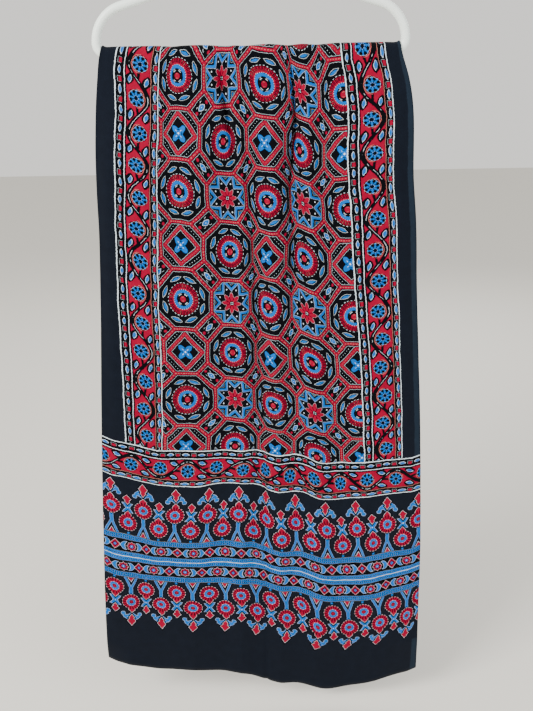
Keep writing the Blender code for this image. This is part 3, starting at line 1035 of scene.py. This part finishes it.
    @staticmethod
    def lines(stops: Sequence[float], steps: Sequence[float]) -> np.ndarray:
        """Divides the stretches between stops into about even steps.

        Args:
            stops: The places that need a line.
            steps: The largest step in each stretch.

        Returns:
            Every line's place.
        """
        places = [stops[0]]
        for low, high, step in zip(stops, stops[1:], steps):
            count = max(1, math.ceil((high - low) / step))
            places += [low + (high - low) * (i + 1) / count for i in range(count)]
        return np.array(places)

    def stretch_at(self, across: float, from_hem: float) -> Stretch:
        """Says which stretch of print covers a place."""
        end = min(from_hem, self.length - from_hem)
        low, high = self.cross_border
        if low < end < high:
            return Stretch.CROSS_BORDER
        if end < low:
            return Stretch.END_PANEL if end > low - self.panel_depth else Stretch.PLAIN
        for left, right in self.side_borders:
            if left < across < right:
                return Stretch.SIDE_BORDER
        inside = self.side_borders[0][1] < across < self.side_borders[1][0]
        return Stretch.FIELD if inside else Stretch.PLAIN

    def build(self) -> bpy.types.Object:
        """Builds the stole as one hung sheet with its flat places as UVs.

        Returns:
            The stole's object.
        """
        low, high = self.cross_border
        borders = [edge for border in self.side_borders for edge in border]
        columns = self.lines([0.0, *borders, self.width], [0.0048, 0.0048, 0.0033, 0.0048, 0.0048])
        panel = low - self.panel_depth
        rows = self.lines(
            [0.0, panel, low, high, 1.000, 1.115, self.length - high, self.length - low,
             self.length - panel, self.length],
            [0.007, 0.007, 0.0065, 0.007, 0.0025, 0.007, 0.0065, 0.007, 0.008],
        )
        across, from_hem = np.meshgrid(columns, rows, indexing="ij")
        laid, over_hem = self.slipped(across, from_hem)
        points = self.hang(laid, read_table(self.front_lengths, laid) - over_hem)
        bm = bmesh.new()
        grid = [[bm.verts.new(point) for point in line] for line in points]
        flat = bm.loops.layers.uv.new("cloth")
        for i in range(len(columns) - 1):
            for j in range(len(rows) - 1):
                corners = ((i, j), (i + 1, j), (i + 1, j + 1), (i, j + 1))
                face = bm.faces.new([grid[a][b] for a, b in corners])
                face.smooth = True
                middle = ((columns[i] + columns[i + 1]) / 2, (rows[j] + rows[j + 1]) / 2)
                face.material_index = self.stretch_at(*middle).value
                for loop, (a, b) in zip(face.loops, corners):
                    loop[flat].uv = (columns[a], rows[b])
        stole = mesh_object("printed_stole", bm)
        solidify = stole.modifiers.new("cotton", "SOLIDIFY")
        solidify.thickness = self.thickness
        solidify.offset = 0.0
        solidify.material_offset = Stretch.REVERSE.value
        return stole

    def dress(self, stole: bpy.types.Object) -> None:
        """Gives each stretch of the stole its print."""
        for stretch in Stretch:
            dyes = self.cotton.dyes
            framed = stretch in (Stretch.FIELD, Stretch.SIDE_BORDER, Stretch.CROSS_BORDER)
            name = f"block_printed_cotton_{stretch.name.lower()}"
            printing = Printing(name, self.cotton, dyes.black if framed else dyes.ground)
            if stretch is Stretch.PLAIN:
                printing.stamp(dyes.selvedge, self.selvedge_stripe_mm - printing.across, 1.5)
            if stretch is Stretch.FIELD:
                Lattice(printing).print_all()
            elif stretch is Stretch.SIDE_BORDER:
                left, right = (1000 * border[0] for border in self.side_borders)
                inward = printing.across - left - printing.across.over(right - 5.0) * (right - left)
                BorderLine(printing, inward, printing.lengthwise, self.side_block_start_mm).print_all()
            elif stretch is Stretch.CROSS_BORDER:
                inward = (1000 * self.cross_border[1] - printing.from_hem) * self.cross_block_share
                BorderLine(printing, inward, printing.across, self.cross_block_start_mm).print_all()
            elif stretch is Stretch.END_PANEL:
                EndPanel(printing, 1000 * self.cross_border[0] - printing.from_hem).print_all()
            stole.data.materials.append(printing.finish())


@dataclass(frozen=True)
class MouldedPolypropylene:
    """Injection-moulded polypropylene, white with a breath of mint.

    The mould leaves it smooth with a soft, slightly wavy gloss, and handling dulls it in patches.
    """

    color: str = "#F6FEFA"
    shade: str = "#E8F5F1"
    roughness: float = 0.36
    ior: float = 1.49
    wave_mm: float = 9.0
    scuff_mm: float = 2.0

    def material(self) -> bpy.types.Material:
        """Makes the plastic's material.

        Returns:
            The material.
        """
        drawing = Drawing("moulded_polypropylene")
        add = drawing.add_node
        place = add("ShaderNodeTexCoord", {}, {}).output("Object")
        wave = add("ShaderNodeTexNoise", {}, {"Vector": place, "Scale": 1000 / self.wave_mm})
        scuff = add("ShaderNodeTexNoise", {}, {
            "Vector": place, "Scale": 1000 / self.scuff_mm, "Detail": 4.0, "Roughness": 0.7,
        })
        patches = add("ShaderNodeTexNoise", {}, {"Vector": place, "Scale": 22.0, "Detail": 2.0})
        colour = add("ShaderNodeMix", {"data_type": "RGBA"}, {
            0: patches.output("Fac"), 6: linear(self.color), 7: linear(self.shade),
        })
        gloss = Reading(drawing, scuff.output("Fac")) * 0.16 + (self.roughness - 0.08)
        bump = add("ShaderNodeBump", {}, {
            "Strength": 0.12, "Distance": 0.0008, "Height": wave.output("Fac"),
        })
        surface = add("ShaderNodeBsdfPrincipled", {}, {
            "Base Color": colour, "Roughness": gloss, "Normal": bump, "IOR": self.ior,
            "Subsurface Weight": 0.12, "Subsurface Radius": (0.004, 0.004, 0.004),
        })
        add("ShaderNodeOutputMaterial", {}, {"Surface": surface})
        return drawing.material


@dataclass
class Hanger:
    """The moulded hanger: a closed tube with a neck, and the hook that stands on it."""

    plastic: MouldedPolypropylene
    width: float = 0.445
    tube_radius: float = 0.0064
    lower_corner_radius: float = 0.014
    shoulder_radius: float = 0.050
    apex_radius: float = 0.040
    shoulder_height: float = 0.0514
    arm_slope: float = 0.296
    neck_radius: float = 0.0078
    neck_height: float = 0.018
    neck_sunk: float = 0.006
    hook_radius: float = 0.0215
    rod_radius: float = 0.0038
    tip_radius: float = 0.0047
    hook_centre_above_apex: float = 0.0526
    hook_turns: tuple[float, float] = (-62.0, 205.0)
    stem_radius: float = 0.014
    parting_line: float = 0.00014
    corner_steps: int = 20
    sides: int = 48

    @property
    def apex_above_bar(self) -> float:
        """The height of the tube's top over its bar."""
        return self.shoulder_height + (self.width / 2 - self.tube_radius) * self.arm_slope

    @property
    def bar_height(self) -> float:
        """The height of the bar's axis, with the hook's seat at the origin."""
        hook_top = self.hook_centre_above_apex + self.hook_radius - self.rod_radius
        return -(self.apex_above_bar + hook_top)

    def rounded_path(self, corners: Sequence[tuple[float, float, float]]) -> list[np.ndarray]:
        """Turns corner points into a path whose corners are arcs.

        Args:
            corners: Each corner's x, z and radius, 0 for a plain end.

        Returns:
            The path's points.
        """
        path = []
        for i, (x, z, radius) in enumerate(corners):
            corner = np.array([x, z])
            if radius == 0:
                path.append(corner)
                continue
            to_before = np.array(corners[i - 1][:2]) - corner
            to_after = np.array(corners[(i + 1) % len(corners)][:2]) - corner
            to_before /= np.linalg.norm(to_before)
            to_after /= np.linalg.norm(to_after)
            half = math.acos(float(np.dot(to_before, to_after))) / 2
            middle = (to_before + to_after) / np.linalg.norm(to_before + to_after)
            centre = corner + middle * radius / math.sin(half)
            start = corner + to_before * radius / math.tan(half) - centre
            end = corner + to_after * radius / math.tan(half) - centre
            side = 1 if start[0] * end[1] - start[1] * end[0] > 0 else -1
            for step in range(self.corner_steps + 1):
                turn = side * (math.pi - 2 * half) * step / self.corner_steps
                across = np.array([-start[1], start[0]])
                path.append(centre + start * math.cos(turn) + across * math.sin(turn))
        return path

    def sweep(self, bm: bmesh.types.BMesh, path: Sequence[np.ndarray], radii: Sequence[float],
              closed: bool) -> None:
        """Sweeps a round section with its parting line along a path in the XZ plane.

        Args:
            bm: The mesh that it is added to.
            path: The path's points.
            radii: The section's radius at each point.
            closed: Whether the path runs back into its start.
        """
        rings = []
        count = len(path)
        for i, point in enumerate(path):
            before = path[i - 1] if closed or i > 0 else point
            after = path[(i + 1) % count] if closed or i < count - 1 else point
            along = (after - before) / np.linalg.norm(after - before)
            ring = []
            for side in range(self.sides):
                turn = 2 * math.pi * side / self.sides
                raised = self.parting_line if side % (self.sides // 2) == 0 else 0.0
                radius = radii[i] + raised
                out = radius * math.cos(turn)
                ring.append(bm.verts.new((
                    point[0] - along[1] * out, radius * math.sin(turn), point[1] + along[0] * out,
                )))
            rings.append(ring)
        pairs = list(zip(rings, rings[1:])) + ([(rings[-1], rings[0])] if closed else [])
        for first, second in pairs:
            for side in range(self.sides):
                following = (side + 1) % self.sides
                face = bm.faces.new((first[side], first[following], second[following], second[side]))
                face.smooth = True
        if not closed:
            bm.faces.new(rings[0])
            bm.faces.new(rings[-1])

    def finished(self, name: str, bm: bmesh.types.BMesh) -> bpy.types.Object:
        """Makes an object of a mesh, dressed in the plastic.

        Args:
            name: The object's name.
            bm: Its mesh.

        Returns:
            The object.
        """
        bmesh.ops.recalc_face_normals(bm, faces=bm.faces)
        made = mesh_object(name, bm)
        made.data.set_sharp_from_angle(angle=math.radians(40))
        made.data.materials.append(self.plastic.material())
        return made

    def build_frame(self) -> bpy.types.Object:
        """Builds the closed tube with its neck.

        Returns:
            The frame's object.
        """
        half = self.width / 2 - self.tube_radius
        bar = self.bar_height
        shoulder = bar + self.shoulder_height
        apex = bar + self.apex_above_bar
        path = self.rounded_path([
            (-half, bar, self.lower_corner_radius), (half, bar, self.lower_corner_radius),
            (half, shoulder, self.shoulder_radius), (0.0, apex, self.apex_radius),
            (-half, shoulder, self.shoulder_radius),
        ])
        bm = bmesh.new()
        self.sweep(bm, path, [self.tube_radius] * len(path), closed=True)
        top = apex + self.neck_height
        heights = (apex - self.neck_sunk, top - 0.004, top - 0.0025, top - 0.001, top)
        narrowed = (0.0, 0.0, 0.0006, 0.0014, 0.0022)
        neck = [np.array([0.0, height]) for height in heights]
        self.sweep(bm, neck, [self.neck_radius - n for n in narrowed], closed=False)
        return self.finished("moulded_frame", bm)

    def build_hook(self) -> bpy.types.Object:
        """Builds the hook with its stem and rounded tip.

        Returns:
            The hook's object.
        """
        apex = self.bar_height + self.apex_above_bar
        foot = apex + self.neck_height + 0.0003
        centre = apex + self.hook_centre_above_apex
        start, end = (math.radians(turn) for turn in self.hook_turns)
        turns = np.linspace(start, end, 90)
        circle = [np.array([self.hook_radius * math.cos(a), centre + self.hook_radius * math.sin(a)])
                  for a in turns]
        bend = centre - self.hook_radius / math.cos(math.pi / 2 + start)
        stem = self.rounded_path([(0.0, foot, 0), (0.0, bend, self.stem_radius), (*circle[0], 0)])
        rod = stem[:-1] + circle
        bm = bmesh.new()
        self.sweep(bm, rod, [self.rod_radius] * len(rod), closed=False)
        x, z = rod[-1]
        ball = bmesh.ops.create_uvsphere(bm, u_segments=32, v_segments=20, radius=self.tip_radius)
        bmesh.ops.translate(bm, verts=ball["verts"], vec=(x, 0.0, z))
        for face in {face for vert in ball["verts"] for face in vert.link_faces}:
            face.smooth = True
        return self.finished("moulded_hook", bm)


@dataclass
class Studio:
    """A plain pale floor, soft lights, and the camera where the photographer stood."""

    bar_height: float
    floor_below_seat: float = 1.300
    floor_size: float = 16.0
    camera_place: tuple[float, float] = (0.0142, -1.2606)
    camera_below_bar: float = 0.0172
    pitch_down: float = 18.99
    roll: float = 1.0
    focal_px: float = 845.4

    def build_floor(self) -> None:
        """Lays the floor."""
        bm = bmesh.new()
        bmesh.ops.create_grid(bm, x_segments=1, y_segments=1, size=self.floor_size / 2)
        floor = mesh_object("floor", bm)
        floor.location.z = -self.floor_below_seat
        drawing = Drawing("pale_matt_floor")
        surface = drawing.add_node("ShaderNodeBsdfPrincipled", {}, {
            "Base Color": linear("#D9D6CF"), "Roughness": 0.9,
        })
        drawing.add_node("ShaderNodeOutputMaterial", {}, {"Surface": surface})
        floor.data.materials.append(drawing.material)

    def add_light(self, name: str, place: tuple[float, float, float], size: float,
                  power: float, color: str) -> None:
        """Adds a square soft light that faces the stole's middle.

        Args:
            name: The light's name.
            place: Where it hangs.
            size: Its width.
            power: Its power in watts.
            color: Its colour.
        """
        light = bpy.data.lights.new(name, "AREA")
        light.size = size
        light.energy = power
        light.color = linear(color)[:3]
        lamp = put_in_scene(name, light)
        lamp.location = place
        aim = Vector((0.0, 0.0, -0.65)) - Vector(place)
        lamp.rotation_euler = aim.to_track_quat("-Z", "Y").to_euler()

    def light(self) -> None:
        """Sets the lights and the room's soft glow."""
        self.add_light("window_light", (-2.0, -1.9, 1.1), 1.3, 146.0, "#FFFCF6")
        self.add_light("room_fill", (2.2, -1.8, 0.2), 2.0, 33.0, "#F6FAFF")
        self.add_light("back_fill", (0.5, 2.4, 0.8), 2.0, 40.0, "#FFFFFF")
        world = bpy.context.scene.world or bpy.data.worlds.new("room")
        bpy.context.scene.world = world
        world.use_nodes = True
        glow = world.node_tree.nodes["Background"]
        glow.inputs["Color"].default_value = linear("#EDEBE6")
        glow.inputs["Strength"].default_value = 1.26

    def add_camera(self) -> None:
        """Puts the camera at the photograph's place."""
        camera = bpy.data.cameras.new("photographer")
        camera.sensor_fit = "VERTICAL"
        camera.sensor_height = 36.0
        camera.lens = self.focal_px / PHOTO_HEIGHT_PX * camera.sensor_height
        camera.clip_start = 0.02
        holder = put_in_scene("photographer", camera)
        holder.location = (*self.camera_place, self.bar_height - self.camera_below_bar)
        tilt = Euler((math.radians(90.0 - self.pitch_down), 0.0, 0.0)).to_matrix()
        roll = Euler((0.0, 0.0, -math.radians(self.roll))).to_matrix()
        holder.rotation_euler = (tilt @ roll).to_euler()
        bpy.context.scene.camera = holder


def main() -> None:
    """Builds the studio, the hanger and the stole, and notes the sizes."""
    logging.basicConfig(level=logging.INFO, format="%(message)s")
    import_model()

    hanger = Hanger(MouldedPolypropylene())
    studio = Studio(hanger.bar_height)
    studio.build_floor()
    studio.light()
    studio.add_camera()

    frame = hanger.build_frame()
    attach(frame, "root")
    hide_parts("hanger")
    log.info("frame: %d faces", len(frame.data.polygons))
    hook = hanger.build_hook()
    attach(hook, "root")
    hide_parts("hook")
    log.info("hook: %d faces", len(hook.data.polygons))

    stole = Stole(BlockPrintedCotton(), hanger.bar_height)
    cloth = stole.build()
    stole.dress(cloth)
    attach(cloth, "root")
    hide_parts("cloth")
    log.info("stole: %d faces", len(cloth.data.polygons))


if __name__ == "__main__":
    main()
